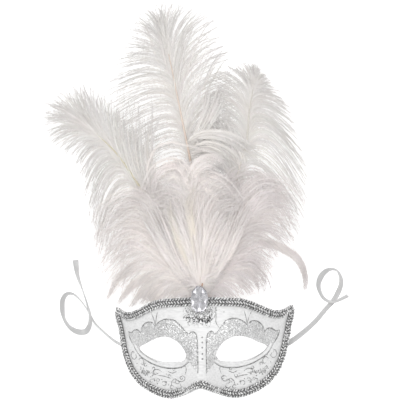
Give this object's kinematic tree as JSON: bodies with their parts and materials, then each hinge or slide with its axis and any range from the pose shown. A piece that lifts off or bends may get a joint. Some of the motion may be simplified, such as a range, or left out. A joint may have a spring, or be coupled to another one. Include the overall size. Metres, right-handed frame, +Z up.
{
  "type": "feathered half mask",
  "caption": "White half mask with eye holes, silver braid edge, clear forehead stone, ostrich plumes and tying ribbons, lying face up.",
  "frame": {"origin": "on the table under the middle of the mask and its plumes, ribbons left out", "axes": "+X to the right as the mask is looked at, +Y from the nose to the plume tips, +Z up out of the face"},
  "size_m": [0.3017, 0.3948, 0.0634],
  "materials": {
    "mask_paint": "white paint with silver glitter ornament",
    "silver_braid": "woven metallic thread",
    "clear_stone": "faceted and polished",
    "white_plume": "soft ostrich feather",
    "satin_ribbon": "satin"
  },
  "bodies": {
    "root": {"mask_shell": "mask_paint", "braid_trim": "silver_braid", "gem": "clear_stone", "plume_back_center": "white_plume", "plume_back_left": "white_plume", "plume_back_right": "white_plume", "plume_front_left": "white_plume", "plume_front_right": "white_plume", "plume_front_center": "white_plume", "ribbon_left": "satin_ribbon", "ribbon_right": "satin_ribbon"}
  },
  "joints": []
}
